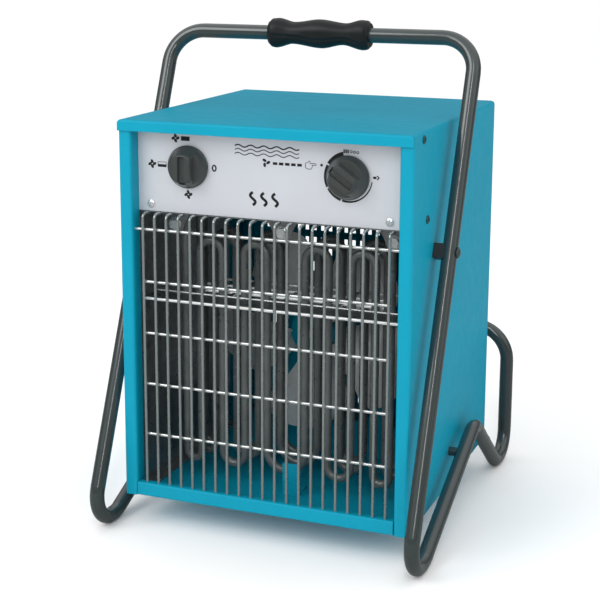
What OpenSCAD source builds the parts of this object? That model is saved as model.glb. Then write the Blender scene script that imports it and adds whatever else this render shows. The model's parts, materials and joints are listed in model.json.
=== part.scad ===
// Portable industrial fan heater: a folded sheet-steel casing that hangs in a bent tube stand.
// Millimetres, +Z up, front towards -Y, origin on the floor at the centre of the footprint.

/* [Casing] */
// Outer width of the casing
case_w = 300; // [294:2:320]
// Outer depth of the casing
case_d = 300; // [296:2:320]
// Outer height of the casing
case_h = 385; // [380:5:410]
// Height of the casing's underside above the floor
ground_gap = 31; // [30:1:36]
// Thickness of the casing's sheet steel
sheet = 1.5; // [1.2:0.1:1.8]
// Width of each front post
post_w = 13.5; // [12:0.5:16]
// Depth of the recess in front of the control panel
recess = 16; // [15:1:20]
// Height of the front rail of the floor pan
rail_h = 14.2; // [12:0.2:18]
// Height of the folded lip along the top front edge
lip_h = 11; // [9:0.5:13]

/* [Controls] */
// Height of the control panel's lower edge above the casing's underside
panel_low = 293.7; // [290:0.1:296]
// Distance of each knob from the centre line
knob_x = 82; // [70:1:95]
// Height of the knobs above the casing's underside
knob_up = 340; // [334:1:344]
// Diameter of a knob
knob_d = 42; // [38:1:46]

/* [Grille] */
// Number of upright wires
wire_count = 21; // [15:2:25]
// Number of cross wires
cross_count = 5; // [3:1:6]
// Wire diameter
wire_d = 3; // [2.5:0.1:3.2]

/* [Heating] */
// Diameter of a tubular element
element_d = 8.5; // [7.5:0.5:9]
// Gap between the two middle legs, in leg pitches
middle_gap = 1.68; // [1:0.02:1.7]
// Distance between the rows of elements
row_step = 26; // [24:1:27]

/* [Fan] */
// Diameter of the fan
fan_d = 224; // [200:2:230]
// Number of blades
blade_count = 5; // [3:1:7]
// Height of the fan's axis above the casing's underside
fan_up = 150; // [140:1:155]

/* [Stand] */
// Outside diameter of the stand's tube
tube_d = 15; // [14:0.5:16]
// Wall of the tube
tube_wall = 1.5; // [1.2:0.1:2]
// Gap between the casing and the tube
tube_gap = 7.5; // [6:0.5:10]
// Height of the handle bar's centre line above the casing's top
handle_up = 76.5; // [65:0.5:90]
// Radius of the handle's corners on the centre line
handle_bend = 35; // [28:1:45]
// Length of the rubber grip
grip_l = 108; // [90:2:130]

/* [Hidden] */
$fn = 48;

steel_blue = "darkcyan";
tube_grey = [0.25, 0.27, 0.28];

// Casing faces
front = -case_d / 2 - 2;
back = case_d / 2 - 2;
base = ground_gap;
top = base + case_h;
half_w = case_w / 2;
inner_x = half_w - sheet;
slack = 0.3;
eps = 0.01;
fold_r = 3;

// Control panel, shelf and posts
post_in = half_w - post_w;
panel_front = front + recess;
panel_back = panel_front + sheet;
panel_z = base + panel_low;
panel_top = top - sheet - 1;
shelf_z = panel_z - 1.7;
shelf_top = shelf_z + sheet;
shelf_back = back - 2 * sheet - slack;
flange_h = 14;
fit_x = inner_x - slack;
knob_z = base + knob_up;

// Screws: shank, hole and head
screw_r = 1.9;
hole_r = 2;
head_r = 4;
head_h = 2.4;
side_screw_at = [[front + 29, base + case_h - 7.5], [front + 46, shelf_top + 6.5]];
panel_screw_x = half_w - 27;
panel_screw_z = panel_z + 7.3;
rear_screw_x = half_w - 8;
rear_screw_z = [base + 20, base + case_h / 2, base + case_h - 8];
floor_screw_x = post_in - 5;
floor_screw_y = [front + 10, back - 8];

// Grille
wire_r = wire_d / 2;
wire_y = front + 4.5;
wire_pitch = (2 * post_in - 19) / (wire_count - 1);
wire_hook = 4;
wire_top = panel_z - 2;
cross_y = wire_y + wire_d;
cross_z = [for (i = [0:cross_count - 1]) base + 276.3 - i * 211 / (cross_count - 1)];

// Heating elements
element_r = element_d / 2;
leg_pitch = (2 * post_in - 52.5) / 9;
element_low = base + 22.5;
element_high = base + 245;
element_top = shelf_top + 14.5;
row_y = [front + 66, front + 66 + row_step, front + 66 + 2 * row_step];
row_shift = [0, 4, -4];
half_legs = [for (i = [0:4]) (i == 4 ? 4.5 : middle_gap / 2 + i) * leg_pitch];
leg_x = [for (i = [0:9]) i < 5 ? -half_legs[4 - i] : half_legs[i - 5]];
first_leg = leg_x[0];
rack_z = base + 203;
stud_r = 2;
stud_top = element_top + 16;
link_z = element_top + 4;
bushing_r = 7;
hanger_x = leg_pitch * 4.75;
hanger_y = front + 54.8;
hanger_bolt_z = shelf_z - 18;

// Fan and motor
fan_z = base + fan_up;
hub_r = 26;
hub_front = -16;
hub_back = 14;
shaft_r = 4;
motor_front = 32;
motor_l = 72;
motor_r = 44;
bracket_y = motor_front - sheet;
motor_screw_angles = [45, 135, 225, 315];

// Controls: bush, shaft, switch gear and sensor
bush_r = 5;
pin_r = 3;
control_back = panel_back + 1.5;
contactor_x = -62;
contactor_y = [row_y[0] - 8, row_y[0] + 66];
probe_x = knob_x;
probe_y = back - 24;
probe_top = base + 262;
probe_bend = 14;

// Rear panel fittings and wiring
gland_x = half_w - 45;
gland_z = base + case_h - 48;
gland_neck_r = 12.5;
gland_hex_r = 17;
cable_r = 7;
block_y = [45, 85];
loom_bend = 9;
reset_neck_r = 6;
reset_r = 3.5;
reset_travel = 2;

// Stand: side view points are [y, z]
tube_r = tube_d / 2;
bore_r = tube_r - tube_wall;
stand_x = half_w + tube_gap + tube_r;
handle_corner = [5.5, top + handle_up];
toe = [front - 46.5, tube_r];
heel = [front + 8, tube_r];
apex = [back - 110, base + 54];
rear_toe = [back - 8, tube_r];
rear_heel = [back + 36.4, tube_r];
bend_thin = 0.1;
bend_reach = 1.5;
rear_bar_z = base + 121;
rear_bend = 38;
toe_bend = 28;
heel_bend = 26;
apex_bend = 20;
leg_dir = unit(handle_corner - toe);
lean = round2(atan2(leg_dir[0], leg_dir[1]));
joint_dir = unit(rear_toe - apex);
joint_at = apex + joint_dir * 60;
upper_bolt_z = base + 264;
upper_bolt_y = handle_corner[0] - leg_dir[0] / leg_dir[1] * (handle_corner[1] - upper_bolt_z);
lower_dir = unit(apex - heel);
lower_bolt_y = -4;
lower_bolt_z = heel[1] + lower_dir[1] / lower_dir[0] * (lower_bolt_y - heel[0]);
bolt_r = 3;
bush_out_r = 4.8;
bolt_x = stand_x + tube_r;

function unit(v) = v / norm(v);

// Rounded to a hundredth, so that neighbouring pieces of a bar meet exactly
function round2(v) = round(v * 100) / 100;

// Angle through which a path turns at its corner b
function turn(a, b, c) = round2(acos(unit(b - a) * unit(c - b)));

// How far before and after corner b a bend of the given radius starts and ends
function setback(a, b, c, bend_r) = bend_r * tan(turn(a, b, c) / 2);

// Step of a bar_run: straight from corner b's bend to corner c's bend, then the bend at c.
// path holds corners b's neighbour, b, c and c's neighbour
function step(path, bends, roll) = [
    round2(norm(path[2] - path[1]) - setback(path[0], path[1], path[2], bends[0])
           - setback(path[1], path[2], path[3], bends[1])),
    turn(path[1], path[2], path[3]), bends[1], roll
];

// A round bar that sets off along +Z and runs straight and bends in turn. Each step is
// [length, angle, bend radius, roll]: the roll turns the bending direction, which starts at +X.
// A bend is drawn a hair thinner than the bar and reaches a little way into its straight ends
module bar_run(steps, r, i = 0) {
    length = steps[i][0];
    if (length > 0) cylinder(h = length, r = r);
    if (len(steps[i]) > 1) {
        angle = steps[i][1];
        bend_r = steps[i][2];
        translate([0, 0, length]) rotate([0, 0, steps[i][3]]) translate([bend_r, 0, 0]) {
            rotate([90, 0, 180]) rotate([0, 0, -bend_reach]) rotate_extrude(angle = angle + 2 * bend_reach)
                translate([bend_r, 0]) circle(r = r - bend_thin);
            rotate([0, angle, 0]) translate([-bend_r, 0, 0]) bar_run(steps, r, i + 1);
        }
    }
}

// Turns a drawing in the XY plane so that x lies along X and y along Z, at a given Y
module front_view(y) {
    translate([0, y, 0]) rotate([90, 0, 0]) children();
}

// A box given by its two corners
module block(low, high) {
    translate(low) cube(high - low);
}

// A round bar along Y from y0 to y1
module bar_y(x, z, y0, y1, r) {
    translate([x, y0, z]) rotate([-90, 0, 0]) cylinder(h = y1 - y0, r = r);
}

// A round bar along X from x0 to x1
module bar_x(y, z, x0, x1, r) {
    translate([x0, y, z]) rotate([0, 90, 0]) cylinder(h = x1 - x0, r = r);
}

// Pan-head screw with a cross recess; the head stands up from z = 0
module pan_screw(shank_l) {
    translate([0, 0, -shank_l]) cylinder(h = shank_l, r = screw_r);
    difference() {
        intersection() {
            cylinder(h = head_h, r = head_r);
            translate([0, 0, head_h - 6]) sphere(r = 6);
        }
        for (a = [0, 90]) rotate([0, 0, a]) block([-2.2, -0.45, head_h - 1.2], [2.2, 0.45, head_h + 1]);
    }
}

// Outline of the casing from the front, with rounded upper corners, shrunk by some amount
module case_outline(shrink, round_r) {
    x = half_w - shrink;
    z = top - shrink;
    r = round_r - shrink;
    translate([-x, base - 1]) square([2 * x, z - r - base + 1]);
    translate([-x + r, base]) square([2 * (x - r), z - base]);
    for (s = [-1, 1]) translate([s * (x - r), z - r]) circle(r = r);
}

// Quarter of a bent sheet, as a 2D shape whose corner points towards -x, -y
module corner_ring(outer, thick) {
    intersection() {
        difference() {
            circle(r = outer);
            circle(r = outer - thick);
        }
        translate([-outer, -outer]) square(outer);
    }
}

// Section through a front post: bend, face, bend and inner return
module post_section() {
    out = half_w - fold_r;
    inn = post_in + fold_r;
    near = front + fold_r;
    translate([-out, near]) corner_ring(fold_r, sheet);
    translate([-out, front]) square([out - inn, sheet]);
    translate([-inn, near]) mirror([1, 0]) corner_ring(fold_r, sheet);
    translate([-post_in - sheet, near]) square([sheet, recess - fold_r]);
    translate([-half_w, near - eps]) square([sheet, 4]);
}

module lip() {
    y = front - 2;
    r = fold_r;
    intersection() {
        translate([-half_w, 0, 0]) rotate([90, 0, 90]) linear_extrude(case_w) {
            translate([y + r, top - r]) mirror([0, 1]) corner_ring(r, sheet);
            translate([y, top - lip_h]) square([sheet, lip_h - r]);
            translate([y + r - eps, top - sheet]) square([6, sheet]);
        }
        translate([0, front + 20, 0]) rotate([90, 0, 0]) linear_extrude(40) case_outline(0, 4);
    }
}

// Folded cover: top, both sides, front lip, front posts and rear flanges in one sheet
module casing_wrap() color(steel_blue) difference() {
    union() {
        difference() {
            translate([0, back, 0]) rotate([90, 0, 0]) linear_extrude(case_d - fold_r) case_outline(0, 4);
            translate([0, back + 1, 0]) rotate([90, 0, 0]) linear_extrude(case_d + 2)
                case_outline(sheet, 4);
            block([-half_w - 1, front - 1, base - 5], [half_w + 1, back + 1, base]);
        }
        intersection() {
            difference() {
                front_view(front + fold_r + 1) linear_extrude(fold_r + 1) case_outline(0, 4);
                front_view(front + fold_r + 2) linear_extrude(fold_r + 5) case_outline(sheet, 4);
            }
            block([-half_w, front, top - lip_h], [half_w, front + fold_r + 1, top]);
        }
        lip();
        for (s = [0, 1]) mirror([s, 0, 0]) {
            translate([0, 0, base]) linear_extrude(case_h - lip_h + 3) post_section();
            block([-post_in - sheet, front + 4, base + sheet],
                  [-post_in + 12, panel_front, base + 2 * sheet]);
            block([-inner_x - eps, back - 2 * sheet, base + 2 * sheet + slack],
                  [-half_w + 15, back - sheet, top - sheet]);
        }
        block([-inner_x, back - 2 * sheet, top - 15], [inner_x, back - sheet, top - sheet + eps]);
    }
    for (s = [-1, 1]) {
        for (at = side_screw_at) bar_x(at[0], at[1], s * half_w - 3, s * half_w + 3, hole_r);
        for (z = rear_screw_z) bar_y(s * rear_screw_x, z, back - 5, back + 1, hole_r);
        translate([s * floor_screw_x, floor_screw_y[0], base]) cylinder(h = 6, r = hole_r);
        bar_x(upper_bolt_y, upper_bolt_z, s * half_w - 3, s * half_w + 3, bolt_r + 0.1);
        bar_x(lower_bolt_y, lower_bolt_z, s * half_w - 3, s * half_w + 3, bolt_r + 0.1);
    }
}

// Floor of the casing with the front rail and side flanges
module floor_pan() color("teal") difference() {
    rail_x = post_in - slack;
    union() {
        block([-fit_x, panel_front + slack, base], [fit_x, back - sheet - 0.1, base + sheet]);
        block([-rail_x, front + 2, base], [rail_x, panel_front + 1, base + sheet]);
        translate([-rail_x, 0, base]) rotate([90, 0, 90]) linear_extrude(2 * rail_x) {
            translate([front + 2.4, 2]) corner_ring(2, sheet);
            translate([front + 0.4, 2 - eps]) square([sheet, rail_h - 4 + 2 * eps]);
            translate([front + 2.4, rail_h - 2]) mirror([0, 1]) corner_ring(2, sheet);
            translate([front + 2.4 - eps, rail_h - sheet]) square([6, sheet]);
        }
        for (s = [0, 1]) mirror([s, 0, 0])
            block([-fit_x, panel_front + 4, base], [-fit_x + sheet, back - 5, base + flange_h]);
    }
    for (s = [-1, 1]) for (y = floor_screw_y)
        translate([s * floor_screw_x, y, base - 1]) cylinder(h = 6, r = hole_r);
}

// Rear panel with rows of upright air slots and holes for the gland and the reset button
module rear_panel() color("teal") difference() {
    slot_rows = 8;
    slot_columns = 25;
    slot_step = [9.6, 29];
    slot = [4.4, 21];
    union() {
        block([-fit_x, back - sheet, base], [fit_x, back, top - sheet - slack]);
        block([-post_in, back - 16, base + sheet], [post_in, back - sheet + eps, base + 2 * sheet]);
    }
    for (row = [0:slot_rows - 1], column = [0:slot_columns - 1])
        translate([(column - (slot_columns - 1) / 2) * slot_step[0] - slot[0] / 2, back - 5,
                   base + 22 + row * slot_step[1]])
            cube([slot[0], 10, slot[1]]);
    for (s = [-1, 1]) {
        for (z = rear_screw_z) bar_y(s * rear_screw_x, z, back - 5, back + 1, hole_r);
        translate([s * floor_screw_x, floor_screw_y[1], base]) cylinder(h = 6, r = hole_r);
    }
    bar_y(gland_x, gland_z, back - 5, back + 1, gland_neck_r + 0.1);
    bar_y(-gland_x, gland_z, back - 5, back + 1, reset_neck_r + 0.1);
}

// Silver front plate that carries the two knobs
module control_panel() color("silver") difference() {
    union() {
        block([-fit_x, panel_front, panel_z], [fit_x, panel_back, panel_top]);
        for (s = [0, 1]) mirror([s, 0, 0])
            block([-fit_x, panel_back - eps, panel_z + 4], [-fit_x + sheet, panel_back + 24, panel_top]);
    }
    for (s = [-1, 1]) {
        bar_y(s * knob_x, knob_z, panel_front - 1, panel_back + 1, bush_r + 0.2);
        bar_y(s * panel_screw_x, panel_screw_z, panel_front - 1, panel_back + 1, hole_r);
        bar_x(side_screw_at[0][0], side_screw_at[0][1], s * fit_x - 3, s * fit_x + 3, hole_r);
    }
}

// Shelf between the hot air duct and the wiring
module control_shelf() color("gainsboro") difference() {
    union() {
        block([-fit_x, panel_back, shelf_z], [fit_x, shelf_back, shelf_top]);
        block([-post_in, panel_back, shelf_z], [post_in, panel_back + sheet, shelf_z + 15]);
        for (s = [0, 1]) mirror([s, 0, 0])
            block([-fit_x, front + 42.5, shelf_z], [-fit_x + sheet, shelf_back, shelf_top + flange_h]);
    }
    for (s = [-1, 1]) {
        bar_y(s * panel_screw_x, panel_screw_z, panel_back - 1, panel_back + 5, hole_r);
        bar_x(side_screw_at[1][0], side_screw_at[1][1], s * fit_x - 3, s * fit_x + 3, hole_r);
    }
    for (row = [0:2], s = [-1, 1])
        translate([row_shift[row] + s * first_leg, row_y[row], shelf_z - 1])
            cylinder(h = 5, r = bushing_r + 0.1);
    translate([probe_x, probe_y, shelf_z - 1]) cylinder(h = 5, r = 3);
}

// Upright plate that keeps the heat off the casing's side; side is -1 or 1
module heat_shield(side) color("dimgray") mirror([side > 0 ? 1 : 0, 0, 0]) {
    x = post_in + 5;
    block([-x, panel_front + 6, base + sheet], [-x + 1.2, back - 60, shelf_z - 2]);
    block([-x, panel_front + 6, base + sheet], [-x + 12, back - 60, base + sheet + 1.2]);
}

module heat_shield_left() heat_shield(-1);

module heat_shield_right() heat_shield(1);

// Upright wires of the front grille, each hooked back under the control panel
module grille_uprights() color("slategray")
    for (i = [0:wire_count - 1])
        translate([(i - (wire_count - 1) / 2) * wire_pitch, wire_y, base + rail_h])
            bar_run([[wire_top - base - rail_h - wire_hook, 90, wire_hook, 90],
                     [panel_front + 1.4 - wire_y - wire_hook]], wire_r);

// Cross wires welded behind the uprights; the top one reaches both posts
module grille_cross_wires() color("slategray")
    for (i = [0:cross_count - 1]) {
        reach = i == 0 ? post_in : (wire_count - 1) / 2 * wire_pitch + wire_r;
        bar_x(cross_y, cross_z[i], -reach, reach, wire_r);
    }

// Support that holds the elements at half height: a bright tray with rods along its edges
module element_rack() color("lightgray") {
    y0 = front + 20;
    y1 = front + 53;
    reach = post_in - slack;
    rod = 1.6;
    arm_x = (half_legs[1] + half_legs[2]) / 2;
    block([-reach, y0 + rod - 0.3, rack_z - 0.6], [reach, y1 - rod + 0.3, rack_z + 0.6]);
    for (y = [y0, y1]) bar_x(y, rack_z, -reach, reach, rod);
    for (x = [-arm_x, 0, arm_x])
        block([x - 2.5, y1 + rod - 0.4, rack_z - 0.6], [x + 2.5, row_y[2] + element_r + 6, rack_z + 0.6]);
    for (y = [row_y[0], row_y[1], row_y[2]])
        bar_x(y + element_r + 1.7, rack_z, -4 * leg_pitch - 3, 4 * leg_pitch + 3, 1.5);
}

// Small upright on the floor that stops the element bends from swinging
module element_floor_bracket() color("teal") {
    block([2, front + 52, base + sheet], [18, front + 53.5, base + 36]);
    block([2, front + 52, base + sheet], [18, front + 80, base + 2 * sheet]);
}

// Serpentine tubular element; its first and last legs run up through the shelf
module heating_element(row) color("dimgray") translate([row_shift[row], row_y[row], 0]) {
    for (i = [0:9]) {
        mate = i % 2 == 0 ? i + 1 : i - 1;
        low = element_low + abs(leg_x[mate] - leg_x[i]) / 2;
        high = (i == 0 || i == 9) ? element_top : element_high;
        translate([leg_x[i], 0, low]) cylinder(h = high - low, r = element_r);
    }
    for (i = [0:8]) {
        low = i % 2 == 0;
        r = (leg_x[i + 1] - leg_x[i]) / 2;
        translate([(leg_x[i] + leg_x[i + 1]) / 2, 0, low ? element_low + r : element_high])
            rotate([90, 0, 0]) rotate([0, 0, low ? 180 : 0])
                rotate_extrude(angle = 180) translate([r, 0]) circle(r = element_r);
    }
}

module heating_element_front() heating_element(0);

module heating_element_middle() heating_element(1);

module heating_element_rear() heating_element(2);

// Ceramic bushings that carry the element ends through the shelf
module element_bushings() color("ivory")
    for (row = [0:2], s = [-1, 1])
        translate([row_shift[row] + s * first_leg, row_y[row], 0]) difference() {
            union() {
                translate([0, 0, shelf_z - 3]) cylinder(h = 3, r = bushing_r + 2);
                translate([0, 0, shelf_z - 0.5]) cylinder(h = 9, r = bushing_r);
            }
            translate([0, 0, shelf_z - 5]) cylinder(h = 20, r = element_r + 0.05);
        }

// Threaded pins at the element ends
module terminal_studs() color("silver")
    for (row = [0:2], s = [-1, 1])
        translate([row_shift[row] + s * first_leg, row_y[row], element_top]) cylinder(h = 16, r = stud_r);

// Hex nuts on the studs, below and above what they clamp
module terminal_nuts() color("goldenrod")
    for (row = [0:2], s = [-1, 1], z = [link_z - 3.1, link_z + 1.6])
        translate([row_shift[row] + s * first_leg, row_y[row], z]) difference() {
            cylinder(h = 3, r = 4, $fn = 6);
            translate([0, 0, -1]) cylinder(h = 5, r = stud_r + 0.05);
        }

// Brass strip that joins the three element ends on the right
module star_link() color("goldenrod") difference() {
    mid = -first_leg + 1;
    block([mid - 12, row_y[0] - 9, link_z], [mid + 12, row_y[2] + 9, link_z + 1.5]);
    for (row = [0:2])
        translate([row_shift[row] - first_leg, row_y[row], link_z - 1]) cylinder(h = 4, r = stud_r + 0.1);
}

// Insulated leads from the left element ends to the contactor
module element_leads() color("black")
    for (row = [0:2]) {
        x = row_shift[row] + first_leg;
        difference() {
            union() {
                translate([x, row_y[row], link_z + 0.1]) cylinder(h = 1.4, r = 4.2);
                bar_x(row_y[row], link_z + 1.9, x + 5, contactor_x, 1.8);
                block([x + 3, row_y[row] - 1.5, link_z + 0.1], [x + 7, row_y[row] + 1.5, link_z + 1.5]);
            }
            translate([x, row_y[row], link_z - 1]) cylinder(h = 5, r = stud_r + 0.1);
        }
    }

// Lugs under the shelf that steady the top of the element pack
module element_hangers() color("dimgray")
    for (x = [-hanger_x, 0, hanger_x])
        difference() {
            union() {
                front_view(hanger_y + sheet) linear_extrude(sheet)
                    polygon([[x - 20, shelf_z], [x + 20, shelf_z],
                             [x + 9, shelf_z - 20], [x - 9, shelf_z - 20]]);
                bar_y(x, hanger_bolt_z, hanger_y, hanger_y + sheet, 10);
                block([x - 20, hanger_y - 12, shelf_z - sheet], [x + 20, hanger_y + eps, shelf_z]);
            }
            bar_y(x, hanger_bolt_z, hanger_y - 1, hanger_y + 5, 3.1);
        }

// Hex bolts with washers through the lugs
module hanger_bolts() color("silver")
    for (x = [-hanger_x, 0, hanger_x]) {
        bar_y(x, hanger_bolt_z, hanger_y - 1.2, hanger_y, 6.5);
        bar_y(x, hanger_bolt_z, hanger_y - eps, hanger_y + 4, 3);
        translate([x, hanger_y - 1.2 + eps, hanger_bolt_z]) rotate([90, 0, 0])
            cylinder(h = 4, r = 5.2, $fn = 6);
    }

// Pressed fan: hub with pitched blades
module fan_blades() color("lightgray") translate([0, 0, fan_z]) difference() {
    union() {
        bar_y(0, 0, hub_front, hub_back, hub_r);
        for (i = [0:blade_count - 1]) rotate([0, i * 360 / blade_count, 0]) intersection() {
            bar_y(0, 0, -17, 17, fan_d / 2);
            rotate([0, 0, 32]) block([-34, -0.8, hub_r - 4], [34, 0.8, fan_d / 2 + 5]);
        }
    }
    bar_y(0, 0, hub_front - 1, hub_back + 1, shaft_r + 0.02);
    bar_y(0, 0, hub_front - 1, hub_front + 7, 16);
}

// Nut that holds the fan on its shaft
module fan_nut() color("silver") difference() {
    translate([0, hub_front + 7, fan_z]) rotate([90, 0, 0]) cylinder(h = 6, r = 7.5, $fn = 6);
    bar_y(0, fan_z, hub_front - 2, hub_front + 8, shaft_r + 0.02);
}

module motor_shaft() color("silver") bar_y(0, fan_z, hub_front - 4, motor_front + 40, shaft_r);

// Motor can with a front boss that holds the shaft
module fan_motor() color("gray") difference() {
    union() {
        bar_y(0, fan_z, motor_front, motor_front + motor_l, motor_r);
        bar_y(0, fan_z, motor_front - 12, motor_front + eps, 15);
        bar_y(0, fan_z, motor_front + motor_l - eps, motor_front + motor_l + 6, 20);
    }
    bar_y(0, fan_z, motor_front - 13, motor_front + 42, shaft_r + 0.05);
    for (a = motor_screw_angles) motor_screw_place(a) cylinder(h = 14, r = hole_r);
}

// Places a child at a motor screw, pointing backwards from the bracket's front
module motor_screw_place(a) {
    translate([34 * cos(a), bracket_y, fan_z + 34 * sin(a)]) rotate([-90, 0, 0]) children();
}

// Upright painted plate behind the fan that carries the motor
module motor_bracket() color("teal") difference() {
    union() {
        front_view(bracket_y + sheet) linear_extrude(sheet)
            polygon([[-70, base + sheet], [70, base + sheet], [70, base + 40], [56, fan_z], [34, fan_z + 56],
                     [-34, fan_z + 56], [-56, fan_z], [-70, base + 40]]);
        block([-70, bracket_y, base + sheet], [70, bracket_y + 26, base + 2 * sheet]);
    }
    bar_y(0, fan_z, bracket_y - 1, bracket_y + 5, 15.2);
    for (a = motor_screw_angles) motor_screw_place(a) translate([0, 0, -1]) cylinder(h = 14, r = hole_r);
    for (s = [-1, 1]) bar_y(s * 36, base + 62, bracket_y - 1, bracket_y + 5, 20);
}

module motor_screws() color("silver")
    for (a = motor_screw_angles) motor_screw_place(a) rotate([180, 0, 0]) pan_screw(8);

// Threaded bush of a control, with a running bore for its shaft
module control_body(depth) {
    difference() {
        union() {
            bar_y(0, 0, panel_front - 5, control_back + 1, bush_r);
            children();
        }
        bar_y(0, 0, panel_front - 6, control_back + depth - 6, pin_r + 0.05);
    }
}

// Rotary switch behind the panel
module rotary_switch() color("dimgray") translate([-knob_x, 0, knob_z])
    control_body(32) {
        block([-22, control_back, -22], [22, control_back + 24, 22]);
        block([-18, control_back + 20, -18], [18, control_back + 32, 18]);
    }

// Thermostat behind the panel
module thermostat() color("dimgray") translate([knob_x, 0, knob_z])
    control_body(24) {
        bar_y(0, 0, control_back, control_back + 24, 20);
        block([-14, control_back, -24], [14, control_back + 18, 24]);
    }

// Shaft of a control, standing out in front of the panel
module control_shaft(x, depth) {
    bar_y(x, knob_z, panel_front - 13, control_back + depth - 8, pin_r);
}

module switch_shaft() color("silver") control_shaft(-knob_x, 32);

module thermostat_shaft() color("silver") control_shaft(knob_x, 24);

// Hex nuts that clamp the two controls to the panel
module bush_nuts() color("silver")
    for (s = [-1, 1])
        translate([s * knob_x, panel_front, knob_z]) rotate([90, 0, 0]) difference() {
            cylinder(h = 2.5, r = 8.2, $fn = 6);
            translate([0, 0, -1]) cylinder(h = 6, r = bush_r + 0.05);
        }

// Knob with a raised grip bar; angle is clockwise from straight up, seen from the front
module knob(x, angle) translate([x, panel_front - 0.8, knob_z]) rotate([90, 0, 0]) rotate([0, 0, -angle])
    difference() {
        r = knob_d / 2;
        union() {
            rotate_extrude()
                polygon([[0, 0], [r, 0], [r, 3], [r - 1, 3.6], [r - 1.6, 9.5], [r - 3, 11], [0, 11]]);
            intersection() {
                cylinder(h = 17.5, r = r - 1.8);
                block([-5.5, -r, 8], [5.5, r, 17.5]);
            }
        }
        translate([0, 0, -1]) cylinder(h = 7.5, r = 11);
        translate([0, 0, -1]) cylinder(h = 13.5, r = pin_r + 0.02);
        block([-0.7, r - 9, 16.9], [0.7, r + 1, 20]);
    }

module switch_knob() color("dimgray") knob(-knob_x, 180);

module thermostat_knob() color("dimgray") knob(knob_x, 315);

// Capillary that runs back over the shelf and down to the sensor bulb
module capillary_tube() color("peru") translate([probe_x, control_back + 24, knob_z]) rotate([-90, 0, 0])
    bar_run([[probe_y - control_back - 24 - probe_bend, 90, probe_bend, 90],
             [knob_z - probe_top - probe_bend]], 1.2);

// Air temperature sensor in the intake behind the fan
module sensor_bulb() color("peru") translate([probe_x, probe_y, probe_top - 60]) cylinder(h = 60, r = 3.5);

// Clip that holds the sensor bulb on the rear panel
module bulb_clip() color("silver") difference() {
    z = probe_top - 36;
    union() {
        translate([probe_x, probe_y, z]) cylinder(h = 10, r = 4.8);
        block([probe_x - 1.5, probe_y + 3, z], [probe_x + 1.5, back - sheet, z + 10]);
        block([probe_x - 6, back - sheet - 1.2, z], [probe_x + 6, back - sheet, z + 10]);
    }
    translate([probe_x, probe_y, z - 1]) cylinder(h = 12, r = 3.55);
}

// Contactor that switches the elements
module contactor() color("dimgray") {
    x = contactor_x;
    block([x, contactor_y[0], shelf_top], [x + 48, contactor_y[1], shelf_top + 46]);
    block([x, contactor_y[0] + 14, shelf_top + 45], [x + 48, contactor_y[1] - 14, shelf_top + 64]);
}

// Terminal block for the mains cable
module terminal_block() color("ivory") {
    x = gland_x - 20;
    block([x, block_y[0], shelf_top], [x + 40, block_y[1], shelf_top + 12]);
    for (i = [0:4])
        block([x + i * 8, block_y[0] + 6, shelf_top + 11], [x + i * 8 + 7, block_y[1] - 6, shelf_top + 26]);
}

// Inner end of the mains wiring, from the gland down to the terminal block
module mains_loom() color("black") translate([gland_x, back - 18, gland_z]) rotate([90, 0, 0])
    bar_run([[15, 90, loom_bend, -90],
             [gland_z - shelf_top - 18 - 2 * loom_bend, 90, loom_bend, 180],
             [back - 33 - 2 * loom_bend - block_y[1] + 6]], 5);

// Wiring from the rotary switch to the contactor
module control_loom() color("black")
    translate([-knob_x - 8, control_back + 32, shelf_top + 56]) rotate([-90, 0, 0])
        bar_run([[contactor_y[0] + 22 - control_back - 32 - loom_bend, 90, loom_bend, 0],
                 [contactor_x + knob_x + 8 - loom_bend]], 3);

// Body of the cable gland: neck through the panel and outer hexagon
module cable_gland() color("dimgray") difference() {
    union() {
        bar_y(gland_x, gland_z, back - 14, back + 16, gland_neck_r);
        translate([gland_x, back, gland_z]) rotate([-90, 0, 0]) cylinder(h = 7, r = gland_hex_r, $fn = 6);
    }
    bar_y(gland_x, gland_z, back - 15, back + 17, cable_r);
}

// Domed cap that squeezes the gland's seal
module gland_cap() color("dimgray") difference() {
    union() {
        translate([gland_x, back + 7.2, gland_z]) rotate([-90, 0, 0]) cylinder(h = 8, r = 16.5, $fn = 6);
        bar_y(gland_x, gland_z, back + 15, back + 20, 14);
        translate([gland_x, back + 20 - eps, gland_z]) rotate([-90, 0, 0])
            cylinder(h = 4, r1 = 14, r2 = 10.5);
    }
    bar_y(gland_x, gland_z, back + 7, back + 17, gland_neck_r + 0.05);
    bar_y(gland_x, gland_z, back + 16, back + 25, cable_r);
}

// Nut that holds the gland from inside
module gland_locknut() color("dimgray") difference() {
    translate([gland_x, back - sheet - 5, gland_z]) rotate([-90, 0, 0]) cylinder(h = 5, r = 17, $fn = 6);
    bar_y(gland_x, gland_z, back - 9, back, gland_neck_r + 0.05);
}

// Safety cut-out with a bore for its reset button
module overheat_cutout() color("dimgray") difference() {
    union() {
        bar_y(-gland_x, gland_z, back - 7, back + 5, reset_neck_r);
        bar_y(-gland_x, gland_z, back - 8, back - sheet, 9);
        bar_y(-gland_x, gland_z, back - 32, back - 8 + eps, 12);
    }
    bar_y(-gland_x, gland_z, back - 14, back + 6, reset_r + 0.05);
}

module reset_button() color("firebrick")
    bar_y(-gland_x, gland_z, back - 13 + reset_travel, back + 5 + reset_travel, reset_r);

// Half of the front tube, from the middle of the handle: leg, foot, lower leg and bend to the joint
front_steps = [
    [0, 90, handle_bend, 0],
    [round2(norm(handle_corner - toe) - handle_bend - setback(handle_corner, toe, heel, toe_bend)),
     turn(handle_corner, toe, heel), toe_bend, 90],
    step([handle_corner, toe, heel, apex], [toe_bend, heel_bend], 0),
    step([toe, heel, apex, rear_toe], [heel_bend, apex_bend], 180)
];

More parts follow.
